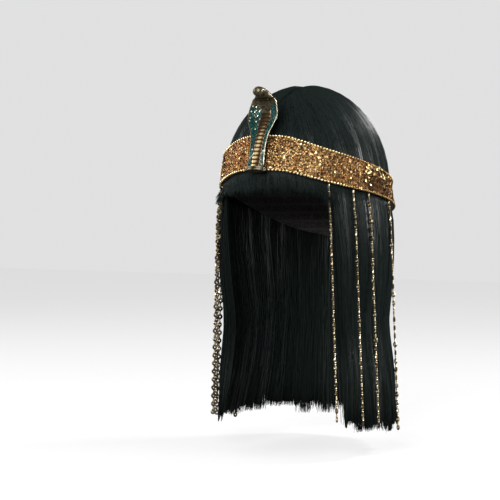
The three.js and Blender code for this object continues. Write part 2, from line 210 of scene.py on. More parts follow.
STREAK_SCALE = (900, 900, 9)
hair_mass, nodes, links, shader = new_finish("hair_mass", 0.6)
shader.inputs["Specular IOR Level"].default_value = 0.02
place = nodes.new("ShaderNodeTexCoord").outputs["Object"]
stretch = nodes.new("ShaderNodeMapping")
stretch.inputs["Scale"].default_value = STREAK_SCALE
links.new(place, stretch.inputs["Vector"])
streaks = nodes.new("ShaderNodeTexNoise")
streaks.inputs["Scale"].default_value = 1.0
streaks.inputs["Detail"].default_value = 3.0
links.new(stretch.outputs["Vector"], streaks.inputs["Vector"])
links.new(colour_ramp(nodes, links, streaks.outputs["Fac"], MASS_TINTS), shader.inputs["Base Color"])
bump_into(nodes, links, shader, streaks.outputs["Fac"], 0.6)


def mesh_piece(name, points, faces, material, smooth=True):
    mesh = bpy.data.meshes.new(name)
    mesh.from_pydata(points.tolist(), [], faces)
    mesh.polygons.foreach_set("use_smooth", [smooth] * len(mesh.polygons))
    mesh.materials.append(material)
    piece = bpy.data.objects.new(name, mesh)
    bpy.context.collection.objects.link(piece)
    return piece


# Keeps two values for each point of a piece as a UV map
def point_map(piece, name, values):
    corners = np.empty(len(piece.data.loops), int)
    piece.data.loops.foreach_get("vertex_index", corners)
    layer = piece.data.uv_layers.new(name=name)
    layer.data.foreach_set("uv", values[corners].ravel())


# Joined three-sided strands along lines of points, each closed at its root and tip
def strand_piece(name, lines, outward, radius, shade, gloss):
    along = unit(np.gradient(lines, axis=1))
    across = unit(np.cross(outward, along))
    lifted = np.cross(along, across)
    turns = math.pi / 2 + np.arange(3) * 2 * math.pi / 3
    corners = [math.cos(turn) * across + math.sin(turn) * lifted for turn in turns]
    points = np.stack([lines + radius[..., None] * corner for corner in corners], axis=2)
    count, rows = lines.shape[:2]
    index = np.arange(count * rows * 3).reshape(count, rows, 3)
    low, high = index[:, :-1], index[:, 1:]
    sides = np.stack([low, np.roll(low, -1, 2), np.roll(high, -1, 2), high], -1)
    faces = sides.reshape(-1, 4).tolist() + index[:, 0, ::-1].tolist() + index[:, -1].tolist()
    piece = mesh_piece(name, points.reshape(-1, 3) * MM, faces, hair_fibre)
    strand_shade = np.broadcast_to(shade[:, None, None], index.shape)
    strand_gloss = np.broadcast_to(gloss[..., None], index.shape)
    point_map(piece, "strand", np.stack([strand_shade, strand_gloss], -1).reshape(-1, 2))
    return piece


# Matted mass under the strands: the section's solid, with its facets smoothed into locks
def hair_mass_piece(name, node):
    mesh = nodes_of_cad[node].data.copy()
    piece = bpy.data.objects.new(name, mesh)
    bpy.context.collection.objects.link(piece)
    mesh.materials.clear()
    mesh.materials.append(hair_mass)
    bpy.context.view_layer.objects.active = piece
    piece.select_set(True)
    bpy.ops.object.mode_set(mode="EDIT")
    bpy.ops.mesh.select_all(action="SELECT")
    bpy.ops.mesh.remove_doubles(threshold=1e-6)
    bpy.ops.mesh.tris_convert_to_quads(face_threshold=1.2, shape_threshold=1.2)
    bpy.ops.object.mode_set(mode="OBJECT")
    rounding = piece.modifiers.new("rounding", "SUBSURF")
    rounding.levels = rounding.render_levels = 1
    bpy.ops.object.modifier_apply(modifier="rounding")
    bpy.ops.object.shade_smooth()
    piece.select_set(False)
    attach(piece, "root")
    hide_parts(node)


def ride_as_hair(piece):
    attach(piece, "root")


CROWN_STRANDS = 2300
CROWN_ROWS = 13
CROWN_LOCKS = 90
CROWN_RADIUS = 0.42
CROWN_WANDER = 0.5
CROWN_LIFT, CROWN_TUCK = (0.1, 0.8), 0.4
CROWN_DULL, CROWN_SIDES = 0.35, (35, 80)
UNDER_BAND = 7
BAND_CLEARING = 9
PARTING_FRONT, PARTING_BACK, PARTING_DEPTH, PARTING_WIDTH = -60, 36, 1.3, 4
PARTING_START, PARTING_END = (-60, -42), (22, 40)
ROOT_SCATTER, ROOT_HALF = 7, (0.4, 2.0)
FULL_TURN = 6.3

hair_mass_piece("crown_hair_mass", "crown_hair")
rng = np.random.default_rng(11)
angle = (np.arange(CROWN_STRANDS) + rng.random(CROWN_STRANDS)) / CROWN_STRANDS * 360 - 180
side = np.sign(angle)
start_y = PARTING_FRONT + (PARTING_BACK - PARTING_FRONT) * (np.abs(angle) / 180) ** 0.9
start_y = np.clip(start_y + rng.normal(0, ROOT_SCATTER, CROWN_STRANDS), PARTING_FRONT, PARTING_BACK)
start_x = side * rng.uniform(*ROOT_HALF, CROWN_STRANDS)
start = np.stack([start_x / DOME_HALF[0], start_y / DOME_HALF[1]], -1)
start = np.concatenate([start, np.sqrt(1 - (start**2).sum(-1, keepdims=True))], -1)
end, _ = hair_points(angle, band_top(angle) + UNDER_BAND, 0.0)
end = unit((end + [0, 0, HAIR_WIDEST]) / DOME_HALF)
part = np.linspace(0, 1, CROWN_ROWS)[None, :, None]
bend = np.arccos(np.clip((start * end).sum(-1), -1, 1))[:, None, None]
ball = (np.sin((1 - part) * bend) * start[:, None] + np.sin(part * bend) * end[:, None]) / np.sin(bend)
outward = unit(ball / DOME_HALF)
lines = ball * DOME_HALF - [0, 0, HAIR_WIDEST]
line_angle = np.degrees(np.arctan2(lines[..., 0], -lines[..., 1]))
part = part[..., 0]
clear = ease(band_top(line_angle) + lines[..., 2], 0, BAND_CLEARING)
lift = rng.uniform(*CROWN_LIFT, (CROWN_STRANDS, 1)) * clear * ease(part, 0, 0.1)
lift = lift - CROWN_TUCK * (1 - clear)
waves = rng.uniform(2, 6, (CROWN_STRANDS, 1))
wander = CROWN_WANDER * np.sin(part * waves + rng.uniform(0, FULL_TURN, (CROWN_STRANDS, 1)))
across = unit(np.cross(outward, np.gradient(lines, axis=1)))
lines = lines + outward * lift[..., None] + across * wander[..., None]
starts = ease(lines[..., 1], *PARTING_START)
ends = ease(lines[..., 1], *PARTING_END)
groove = np.exp(-((lines[..., 0] / PARTING_WIDTH) ** 2))
lines[..., 2] -= PARTING_DEPTH * groove * starts * (1 - ends)
radius = np.full((CROWN_STRANDS, CROWN_ROWS), CROWN_RADIUS)
at_sides = ease(np.abs(line_angle), *CROWN_SIDES)
gloss = ease(part, 0.08, 0.45) * (CROWN_DULL + (1 - CROWN_DULL) * at_sides)
lock = np.arange(CROWN_STRANDS) * CROWN_LOCKS // CROWN_STRANDS
shade = 0.45 * rng.random(CROWN_STRANDS) + 0.45 * rng.random(CROWN_LOCKS)[lock]
crown_strands = strand_piece("crown_hair_strands", lines, outward, radius, shade, gloss)
ride_as_hair(crown_strands)

ROOT_DROP, ROOT_UNDER = 100.0, 5
INNER_SHARE, INNER_GAP, INNER_LEAN = 0.38, 0.1, 1.5
LOCK_LIFT, LOCK_GATHER, LOCK_DRIFT, LOCK_WAVE = (-0.2, 0.7), 0.5, 0.35, 0.12
SHORT_TIPS = 2.2
TUCKED_IN = 0.3
TIP_FROM, TIP_THINNING = 0.8, 0.6
SWAY_LENGTH = 24
GLOSS_FADES, GLOSS_FADE = (125, 190), 0.7
GLOSS_RETURNS, GLOSS_RETURN = (225, 270), 0.6
FLICK_FROM = 0.72


# Strands that fall from under the band. Each keeps to one face of the section's wall, or runs
# anywhere through it, drifts a little sideways, and gathers with its lock towards the tip
def fall_strands(
    name, seed, count, rows, locks, angle_of, hem_of, hem_wall, taper, ragged, thickness,
    sway_depth=0.0, flick=0.0, sheen=1.0, through=False,
):
    rng = np.random.default_rng(seed)
    along = np.linspace(0, 1, rows)[None, :]
    across = (np.arange(count) + rng.random(count)) / count
    lock = np.minimum((across * locks).astype(int), locks - 1)
    lock_hem = rng.normal(0, ragged, locks)[lock]
    lock_lift = rng.uniform(*LOCK_LIFT, locks)[lock]
    sway_turn = rng.uniform(0, FULL_TURN, locks)[lock][:, None]
    gather = LOCK_GATHER * ease(along, 0.25, 1)
    drift = rng.normal(0, LOCK_DRIFT / locks, (count, 1)) * along
    waves = rng.uniform(3, 9, (count, 1))
    wave = LOCK_WAVE / locks * np.sin(along * waves + rng.uniform(0, FULL_TURN, (count, 1)))
    spread = across[:, None] + ((lock + 0.5) / locks - across)[:, None] * gather + drift + wave
    root = band_foot(angle_of(across, ROOT_DROP)) - ROOT_UNDER
    hem = hem_of(across) + lock_hem - np.abs(rng.normal(0, SHORT_TIPS * ragged, count)) + ragged
    drop = root[:, None] + (hem - root)[:, None] * along
    angle = angle_of(spread, drop)
    wall = hair_wall(drop)
    thinned = ease(hem[:, None] - drop, 0, taper)
    kept = np.minimum(hem_wall, wall) * (1 - thinned) + wall * thinned
    spare = (wall - kept) / 2
    clear = ease(drop - band_foot(angle), 0, BAND_CLEARING)
    draw = rng.random(count)[:, None]
    depth = draw if through else (draw < INNER_SHARE) * 1.0
    proud = (rng.uniform(0.0, 1.0, count) + lock_lift)[:, None] * clear - TUCKED_IN
    sway = 1 + np.sin(drop / SWAY_LENGTH + sway_turn)
    proud = proud + sway_depth * sway * ease(along, 0.1, 0.4)
    out = (1 - INNER_LEAN * depth) * proud - depth * (kept + INNER_GAP) - spare
    out = out + flick * ease(np.abs(2 * across - 1), FLICK_FROM, 1)[:, None] * along**2
    lines, outward = hair_points(angle, drop, out)
    radius = thickness / 2 * (1 - TIP_THINNING * ease(along, TIP_FROM, 1)) * np.ones((count, 1))
    shade = sheen * (0.55 * rng.random(count) + 0.45 * rng.random(locks)[lock])
    gloss = 1 - GLOSS_FADE * ease(drop, *GLOSS_FADES) + GLOSS_RETURN * ease(drop, *GLOSS_RETURNS)
    ride_as_hair(strand_piece(name, lines, outward, radius, shade, gloss))


FRINGE_EDGE, FRINGE_HEM, FRINGE_DIP = 49.5, 97.5, 11
hair_mass_piece("fringe_mass", "fringe")
fall_strands(
    "fringe_strands", seed=21, count=1500, rows=8, locks=17,
    angle_of=lambda part, drop: -FRINGE_EDGE + 2 * FRINGE_EDGE * part + 0 * drop,
    hem_of=lambda part: FRINGE_HEM + FRINGE_DIP * (2 * part - 1) ** 4,
    hem_wall=2.2, taper=22, ragged=1.5, thickness=0.8, flick=8.0, sheen=0.55,
)

SIDE_END = 118
SIDE_HEM = 329
for side_name, sign, seed in (("left", 1, 31), ("right", -1, 32)):
    hair_mass_piece(f"side_hair_{side_name}_mass", f"side_hair_{side_name}")
    fall_strands(
        f"side_hair_{side_name}_strands", seed=seed, count=1500, rows=12, locks=9,
        angle_of=lambda part, drop: sign * (face_edge(drop) + (SIDE_END - face_edge(drop)) * part),
        hem_of=lambda part: SIDE_HEM + 0 * part,
        hem_wall=2.5, taper=45, ragged=3.0, thickness=0.9, sway_depth=0.6,
    )

WISP_HEM, WISP_HEM_RISE = 240, 40
for side_name, sign, seed in (("left", 1, 33), ("right", -1, 34)):
    fall_strands(
        f"face_edge_{side_name}_strands", seed=seed, count=220, rows=12, locks=8,
        angle_of=lambda part, drop: sign * (face_edge(drop) - 0.5 + 0.7 * part),
        hem_of=lambda part: SIDE_HEM - 5 + 0 * part,
        hem_wall=2.5, taper=45, ragged=1.5, thickness=0.9, sway_depth=0.3, through=True,
    )
    fall_strands(
        f"face_wisps_{side_name}", seed=seed + 10, count=60, rows=12, locks=6,
        angle_of=lambda part, drop: sign * (face_edge(drop) - 3 + 4 * part),
        hem_of=lambda part: WISP_HEM + WISP_HEM_RISE * part,
        hem_wall=9, taper=45, ragged=7.0, thickness=0.5, sway_depth=1.0, through=True,
    )

hair_mass_piece("back_hair_mass", "back_hair")
fall_strands(
    "back_hair_strands", seed=41, count=2400, rows=12, locks=18,
    angle_of=lambda part, drop: SIDE_END + (360 - 2 * SIDE_END) * part + 0 * drop,
    hem_of=lambda part: SIDE_HEM + 0 * part,
    hem_wall=2.5, taper=45, ragged=3.0, thickness=0.9, sway_depth=0.6,
)


# Headband: a strip of bronze cloth covered in small cupped sequins of gold, copper and brown,
# sewn on in overlapping rows, with larger ones at the temples and a row of beads along each edge.
# The strip itself is its solid.
BAND_OUT = 2.5
CLOTH_CELL = 1.1
CLOTH_TINTS = [(0.1, (0.16, 0.075, 0.025)), (0.8, (0.04, 0.018, 0.008))]
SEQUIN_PITCH = 1.4
SEQUIN_ROWS = 24
SEQUIN_SIDES = 5
SEQUIN_RADIUS = 0.95
SEQUIN_OUT, SEQUIN_LOOSE = 0.55, 0.35
SEQUIN_TILT, SEQUIN_LEAN = 0.26, 0.1
SEQUIN_STRAY_ANGLE, SEQUIN_STRAY_HEIGHT = 0.25, 0.008
LARGE_SIZE, LARGE_OUT, LARGE_COPPER = 1.75, 0.7, 0.44
LARGE_SHARE, LARGE_AT_TEMPLE, LARGE_ABOVE = 0.012, 0.1, -0.12
TEMPLE_ANGLE, TEMPLE_HALF, TEMPLE_END, TEMPLE_DARK = 88, 10, 22, 0.9
BESIDE_FROM, BESIDE_TO, BESIDE_DARK = (34, 48), (110, 130), 0.45
# Share and span of the painted warm shade added to the copper tint on the wearer's right
WARM_SHADE_SHARE, WARM_SHADE_FROM, WARM_SHADE_TO = 0.45, (2, 14), (-100, -70)
SEQUIN_TINTS = [
    (0.0, (0.045, 0.022, 0.008)),
    (0.3, (0.22, 0.127, 0.049)),
    (0.6, (0.36, 0.227, 0.09)),
    (0.85, (0.53, 0.38, 0.167)),
    (1.0, (0.85, 0.74, 0.43)),
]
COPPER_TINTS = [(0.45, (1, 1, 1)), (1.0, (1, 0.66, 0.52))]

band_cloth, nodes, links, shader = new_finish("band_cloth", 0.6, 0.3)
place = nodes.new("ShaderNodeTexCoord").outputs["Object"]
weave = nodes.new("ShaderNodeTexVoronoi")
weave.inputs["Scale"].default_value = 1 / (CLOTH_CELL * MM)
links.new(place, weave.inputs["Vector"])
links.new(colour_ramp(nodes, links, weave.outputs["Distance"], CLOTH_TINTS), shader.inputs["Base Color"])
bump_into(nodes, links, shader, weave.outputs["Distance"], 0.4)
headband = nodes_of_cad["headband"]
headband.data.materials.clear()
headband.data.materials.append(band_cloth)

sequin_metal, nodes, links, shader = new_finish("sequin_metal", 0.2, 1.0)
sequin_shine, sequin_copper = mapped_values(nodes, links, "tint")
sequin_colour = nodes.new("ShaderNodeMix")
sequin_colour.data_type = "RGBA"
sequin_colour.blend_type = "MULTIPLY"
sequin_colour.inputs["Factor"].default_value = 1.0
links.new(colour_ramp(nodes, links, sequin_shine, SEQUIN_TINTS), sequin_colour.inputs["A"])
links.new(colour_ramp(nodes, links, sequin_copper, COPPER_TINTS), sequin_colour.inputs["B"])
links.new(sequin_colour.outputs["Result"], shader.inputs["Base Color"])
rough = nodes.new("ShaderNodeMapRange")
rough.inputs["To Min"].default_value = 0.25
rough.inputs["To Max"].default_value = 0.5
links.new(sequin_copper, rough.inputs["Value"])
links.new(rough.outputs["Result"], shader.inputs["Roughness"])


# Places round the band at an even pitch along its length, as angles
def band_angles(pitch, shift):
    fine = np.linspace(0, 360, 1441)
    middle, _ = hair_points(fine, band_middle(folded(fine)), BAND_OUT)
    run = np.concatenate([[0], np.cumsum(np.linalg.norm(np.diff(middle, axis=0), axis=1))])
    count = round(run[-1] / pitch)
    return np.interp((np.arange(count) + shift) * run[-1] / count, run, fine)


# Copies of one small mesh, each at its own place, turned to its own axes and sized
def scattered(name, points, faces, places, axes, sizes, material, tints, smooth):
    count = len(places)
    moved = np.einsum("pk,nkj->npj", points, axes) * sizes[:, None, None] + places[:, None]
    index = np.arange(count)[:, None] * len(points)
    all_faces = [face for f in faces for face in (np.array(f)[None] + index).tolist()]
    piece = mesh_piece(name, moved.reshape(-1, 3) * MM, all_faces, material, smooth)
    point_map(piece, "tint", np.repeat(tints, len(points), axis=0))
    return piece


ring_turns = np.arange(SEQUIN_SIDES) * 2 * math.pi / SEQUIN_SIDES
ring = np.stack([np.cos(ring_turns), np.sin(ring_turns), 0 * ring_turns], -1)
sequin_points = np.concatenate([ring + [0, 0, 0.1], [[0, 0, -0.14]], [[0, 0, -0.3]]])
sequin_faces = []
for i in range(SEQUIN_SIDES):
    j = (i + 1) % SEQUIN_SIDES
    sequin_faces += [[i, j, SEQUIN_SIDES], [j, i, SEQUIN_SIDES + 1]]

rng = np.random.default_rng(51)
angles, heights = [], []
for row in range(SEQUIN_ROWS):
    row_angles = band_angles(SEQUIN_PITCH, 0.5 * (row % 2))
    angles.append(row_angles)
    heights.append(np.full(len(row_angles), (row + 0.7) / (SEQUIN_ROWS + 0.4) - 0.5))
angle = np.concatenate(angles)
angle = angle + rng.normal(0, SEQUIN_STRAY_ANGLE, len(angle))
height = np.concatenate(heights) + rng.normal(0, SEQUIN_STRAY_HEIGHT, len(angle))
drop = band_middle(folded(angle)) + height * band_height(folded(angle))
out = BAND_OUT + SEQUIN_OUT + rng.uniform(0, SEQUIN_LOOSE, len(angle))
places, outward = hair_points(angle, drop, out)
sideways = unit(np.stack([np.cos(np.radians(angle)), np.sin(np.radians(angle)), 0 * angle], -1))
upward = unit(np.cross(outward, sideways))
turned = sideways * rng.normal(0, SEQUIN_TILT, (len(angle), 1))
tipped = upward * rng.normal(SEQUIN_LEAN, SEQUIN_TILT, (len(angle), 1))
facing = unit(outward + turned + tipped)
sideways = unit(sideways - facing * (sideways * facing).sum(-1, keepdims=True))
sequin_axes = np.stack([sideways, np.cross(facing, sideways), facing], 1)
at_temple = 1 - ease(np.abs(folded(angle) - TEMPLE_ANGLE), TEMPLE_HALF, TEMPLE_END)
beside_fringe = ease(folded(angle), *BESIDE_FROM) * (1 - ease(folded(angle), *BESIDE_TO))
# Sequins are darker by the temples and beside the fringe: partly darker sequins there, partly painted shade
dark_sequins_and_shade = np.maximum(TEMPLE_DARK * at_temple, BESIDE_DARK * beside_fringe)
large_share = LARGE_SHARE + LARGE_AT_TEMPLE * at_temple * (height < LARGE_ABOVE)
large = rng.random(len(angle)) < large_share
sizes = SEQUIN_RADIUS * rng.uniform(0.85, 1.15, len(angle)) * np.where(large, LARGE_SIZE, 1.0)
places = places + outward * np.where(large, LARGE_OUT, 0.0)[:, None]
large_shine = rng.uniform(0.7, 0.95, len(angle))
small_shine = rng.beta(1.5, 1.6, len(angle)) * (1 - dark_sequins_and_shade)
signed_angle = (angle + 180) % 360 - 180
# More copper tint on the wearer's right is painted warm shade, over the random copper of the real sequins
warm_shade_side = ease(-signed_angle, *WARM_SHADE_FROM) * ease(signed_angle, *WARM_SHADE_TO)
copper_and_warm_shade = np.minimum(rng.random(len(angle)) + WARM_SHADE_SHARE * warm_shade_side, 1)
shine = np.where(large, large_shine, small_shine)
tints = np.stack([shine, np.where(large, LARGE_COPPER, copper_and_warm_shade)], -1)
sequins = scattered(
    "headband_sequins", sequin_points, sequin_faces, places, sequin_axes, sizes, sequin_metal, tints, False,
)
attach(sequins, "root")


# A small bead as rings of points between two poles
def bead_mesh(segments, rings):
    tilt = np.arange(1, rings) * math.pi / rings
    turn = np.arange(segments) * 2 * math.pi / segments
    flat_ring = np.stack([np.cos(turn), np.sin(turn), 0 * turn], -1)
    belt = np.sin(tilt)[:, None, None] * flat_ring + np.cos(tilt)[:, None, None] * [0, 0, 1]
    points = np.concatenate([belt.reshape(-1, 3), [[0, 0, 1], [0, 0, -1]]])
    top, bottom = len(points) - 2, len(points) - 1
    faces = []
    for i in range(segments):
        j = (i + 1) % segments
        last = (rings - 2) * segments
        faces += [[top, i, j], [bottom, last + j, last + i]]
        for start in range(0, last, segments):
            faces.append([start + i, start + segments + i, start + segments + j, start + j])
    return points, faces


EDGE_BEAD_PITCH = 3.4
EDGE_BEAD_RADIUS = 1.25
EDGE_BEAD_INSET = 0.6
EDGE_BEAD_SEAT = 0.9
edge_angle = band_angles(EDGE_BEAD_PITCH, 0.0)
edge_angle = np.concatenate([edge_angle, edge_angle])
edge_side = np.repeat([-1, 1], len(edge_angle) // 2)
edge_half = band_height(folded(edge_angle)) / 2 - EDGE_BEAD_INSET
edge_drop = band_middle(folded(edge_angle)) + edge_side * edge_half
places, _ = hair_points(edge_angle, edge_drop, BAND_OUT + EDGE_BEAD_RADIUS * EDGE_BEAD_SEAT)
bead_points, bead_faces = bead_mesh(segments=8, rings=5)
upright = np.broadcast_to(np.eye(3), (len(edge_angle), 3, 3))
# Edge beads vary in tone at random and are darker away from the front, which is painted shade
edge_tone_and_shade = rng.uniform(0.9, 1, len(edge_angle)) * (1 - 0.5 * ease(folded(edge_angle), 50, 75))
tints = np.stack([edge_tone_and_shade, rng.uniform(0, 0.4, len(edge_angle))], -1)
sizes = np.full(len(edge_angle), EDGE_BEAD_RADIUS)
edge_beads = scattered(
    "headband_edge_beads", bead_points, bead_faces, places, upright, sizes, sequin_metal, tints, True,
)
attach(edge_beads, "root")


# Cobra: moulded plastic, glued to the front of the band and painted in teal, bronze and olive.
# Body, hood and head are one form, with a ribbed belly, embossed scales, a worn rim and a foot.
COBRA_SECTIONS = [
    # up, half width, half depth, forward, curl of the edges, pitch in degrees
    (-18.5, 9, 2.6, 2.8, 3.7, 0),
    (-9, 8.5, 2.6, 2.8, 4.4, 0),
    (2, 8.3, 2.6, 2.8, 5.1, 0),
    (11.5, 9, 2.3, 2.6, 5.4, 0),
    (19, 10.6, 2.1, 1.9, 5.9, 0),
    (25.5, 13.5, 1.9, 0.6, 7.4, 0),
    (32, 15.6, 1.8, -0.9, 8.6, 0),
    (38, 16.2, 1.8, -1.9, 9.2, 0),
    (43.5, 14.9, 1.9, -1.2, 9.4, 0),
    (48, 13.8, 2.4, 0.6, 7.8, 0),
    (52, 12.8, 3.2, 3.9, 5, 14),
    (54.9, 9.8, 4.5, 9.4, 2.2, 48),
    (55.5, 7.3, 5.1, 14.9, 0.6, 84),
    (55.1, 6.2, 5.1, 20.2, 0, 100),
    (54.1, 5.2, 4.6, 24.6, 0, 103),
    (53.5, 3.2, 3.3, 27, 0, 103),
]
BODY_ROWS = 11
COBRA_GAP = 0.4
section_columns = np.array(COBRA_SECTIONS).T
section_steps = np.hypot(np.diff(section_columns[0]), np.diff(section_columns[3]))
section_runs = np.concatenate([[0], np.cumsum(section_steps)])
hood_end = section_runs[BODY_ROWS - 1]
cobra_curves = [smooth_curve(section_runs, values) for values in section_columns]
seat, seat_normal = hair_points(0.0, band_middle(0.0), BAND_OUT + COBRA_GAP)
cobra_lean = math.atan2(seat_normal[2], -seat_normal[1])


# Turns a piece modelled upright in front of its flat back, and sets it on the band
def seat_on_band(piece):
    bpy.ops.object.select_all(action="DESELECT")
    piece.select_set(True)
    bpy.context.view_layer.objects.active = piece
    piece.rotation_euler = (-cobra_lean, 0, 0)
    piece.location = Vector(seat.tolist()) * MM
    bpy.ops.object.transform_apply(location=True, rotation=True, scale=True)
    piece.select_set(False)
    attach(piece, "root")


# Point of a section of the cobra: across it, and off its middle towards the cobra's front
def section_point(up, forward, pitch, across, front):
    turn = np.radians(pitch)
    return np.stack([across, -forward - front * np.cos(turn), up - front * np.sin(turn)], -1)


# Bar of oval rings: a cylinder whose top face is extruded for each further ring, then shaped
def ringed_bar(name, rings, sides, material, smooth_levels):
    bpy.ops.object.select_all(action="DESELECT")
    bpy.ops.mesh.primitive_cylinder_add(vertices=sides, radius=1, depth=1, location=(0, 0, 0.5))
    bpy.ops.object.transform_apply(location=True)
    piece = bpy.context.object
    piece.name = piece.data.name = name
    piece.data.materials.append(material)
    bpy.ops.object.mode_set(mode="EDIT")
    bpy.ops.mesh.select_mode(type="FACE")
    bpy.ops.mesh.select_all(action="DESELECT")
    bpy.ops.object.mode_set(mode="OBJECT")
    for polygon in piece.data.polygons:
        polygon.select = polygon.normal.z > 0.9
    bpy.ops.object.mode_set(mode="EDIT")
    for _ in rings[2:]:
        bpy.ops.mesh.extrude_region_move(TRANSFORM_OT_translate={"value": (0, 0, 1)})
    bpy.ops.object.mode_set(mode="OBJECT")
    ring_of = [round(vertex.co.z) for vertex in piece.data.vertices]
    for vertex, ring in zip(piece.data.vertices, ring_of):
        up, width, depth, forward, curl, pitch, front = rings[ring]
        off = front - depth * vertex.co.y + curl * vertex.co.x**2
        vertex.co = section_point(up, forward, pitch, width * vertex.co.x, off) * MM
    if smooth_levels:
        rounding = piece.modifiers.new("rounding", "SUBSURF")
        rounding.levels = rounding.render_levels = smooth_levels
        bpy.ops.object.modifier_apply(modifier="rounding")
    bpy.ops.object.shade_smooth()
    return piece, ring_of


# Paint with soft mottling, which lies a little uneven on the plastic
def painted_plastic(name, stops, roughness, metallic, scale_mm, specular=0.5):
    material, nodes, links, shader = new_finish(name, roughness, metallic)
    shader.inputs["Specular IOR Level"].default_value = specular
    place = nodes.new("ShaderNodeTexCoord").outputs["Object"]
    mottle = nodes.new("ShaderNodeTexNoise")
    mottle.inputs["Scale"].default_value = 1 / (scale_mm * MM)
    mottle.inputs["Detail"].default_value = 4.0
    links.new(place, mottle.inputs["Vector"])
    links.new(colour_ramp(nodes, links, mottle.outputs["Fac"], stops), shader.inputs["Base Color"])
    bump_into(nodes, links, shader, mottle.outputs["Fac"], 0.15)
    return material


TEAL_DEEP, TEAL_WORN = (0.003, 0.015, 0.016), (0.005, 0.062, 0.052)
BRONZE_DEEP, BRONZE_WORN = (0.02, 0.014, 0.008), (0.11, 0.058, 0.022)
# The brightest bronze is the colour of the painted highlight on the belly's rib crests
BRONZE_PAINTED_HIGHLIGHT = (0.9, 0.68, 0.34)
OLIVE_DEEP, OLIVE_WORN = (0.018, 0.015, 0.008), (0.1, 0.078, 0.038)
GOLD_DEEP, GOLD_WORN = (0.09, 0.075, 0.045), (0.5, 0.45, 0.32)
# The silver is the colour of the painted glints on the scales
SILVER_PAINTED_GLINT = (0.62, 0.64, 0.55)
teal_paint = painted_plastic(
    "teal_paint", [(0.35, TEAL_DEEP), (0.7, TEAL_WORN)], roughness=0.4, metallic=0.0, scale_mm=3.0,
    specular=0.2,
)
olive_paint = painted_plastic(
    "olive_paint", [(0.3, OLIVE_DEEP), (0.7, OLIVE_WORN)], roughness=0.25, metallic=0.5, scale_mm=3.0,
)
gold_paint = painted_plastic(
    "gold_paint", [(0.35, GOLD_DEEP), (0.65, GOLD_WORN)], roughness=0.28, metallic=0.85, scale_mm=5.0,
)

BODY_RINGS, BODY_SIDES = 48, 32
NECK_UP, JAW_FORWARD = 45.5, 12
body_runs = np.linspace(0, section_runs[-1], BODY_RINGS)
body_rings = []
for run in body_runs:
    up, width, depth, forward, curl, pitch = (float(curve(run)) for curve in cobra_curves)
    body_rings.append((up, width, depth, forward, curl, pitch, 0.0))
cobra_body, _ = ringed_bar("cobra_body", body_rings, BODY_SIDES, teal_paint, 1)
cobra_body.data.materials.append(olive_paint)
for polygon in cobra_body.data.polygons:
    if polygon.center.z > NECK_UP * MM or polygon.center.y < -JAW_FORWARD * MM:
        polygon.material_index = 1
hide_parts("cobra")
seat_on_band(cobra_body)

BELLY_RIBS = 18
BELLY_SIDES = 16
BELLY_SHAPE = (0.0, 0.4, 0.55, 0.4)
BELLY_DEPTH, BELLY_SINK = 1.8, 0.6
BELLY_WIDTH, BELLY_SPREAD = 3.7, 0.14
BELLY_OLIVE = 0.77


# Half width of the belly, which widens little where the hood spreads
def belly_half(width):
    return BELLY_WIDTH + BELLY_SPREAD * width


belly_rings = []
for run in np.linspace(1, hood_end + 2, 4 * BELLY_RIBS + 1):
    up, width, depth, forward, curl, pitch = (float(curve(run)) for curve in cobra_curves)
    swell = BELLY_SHAPE[len(belly_rings) % len(BELLY_SHAPE)]
    half = belly_half(width)
    belly_curl = curl * (half / width) ** 2
    belly_rings.append((up, half, BELLY_DEPTH + swell, forward, belly_curl, pitch, depth - BELLY_SINK))
# Belly tints run from painted shade in the grooves to a painted highlight on the crests
BELLY_TINTS = [(0.0, BRONZE_DEEP), (0.4, BRONZE_WORN), (0.85, BRONZE_PAINTED_HIGHLIGHT)]
belly_paint, nodes, links, shader = new_finish("belly_paint", 0.22, 0.6)
belly_painted_light, _ = mapped_values(nodes, links, "tint")
links.new(colour_ramp(nodes, links, belly_painted_light, BELLY_TINTS), shader.inputs["Base Color"])
cobra_belly, ring_of = ringed_bar("cobra_belly", belly_rings, BELLY_SIDES, belly_paint, 0)
ring_of = np.array(ring_of)
rib_painted_light = np.array(BELLY_SHAPE)[ring_of % len(BELLY_SHAPE)] / max(BELLY_SHAPE)
belly_part = ring_of / len(belly_rings)
ring_half = np.array([ring[1] for ring in belly_rings])[ring_of]
belly_across = np.array([vertex.co.x for vertex in cobra_belly.data.vertices]) / MM / ring_half
# Painted highlight and shade: rib crests bright and grooves dark, brightest along a line that leans across
# the belly, darker towards the neck
painted_highlight_line = 1.5 * belly_part - 0.6
painted_highlight = np.exp(-(((belly_across - painted_highlight_line) / 0.55) ** 2))
rib_painted_light = rib_painted_light * (0.22 + 0.78 * painted_highlight) * (1.15 - 0.75 * ease(belly_part, 0.25, 0.75))
point_map(cobra_belly, "tint", np.stack([rib_painted_light, 0 * rib_painted_light], -1))
cobra_belly.data.materials.append(olive_paint)
for polygon in cobra_belly.data.polygons:
    if min(belly_part[corner] for corner in polygon.vertices) > BELLY_OLIVE:
        polygon.material_index = 1
seat_on_band(cobra_belly)

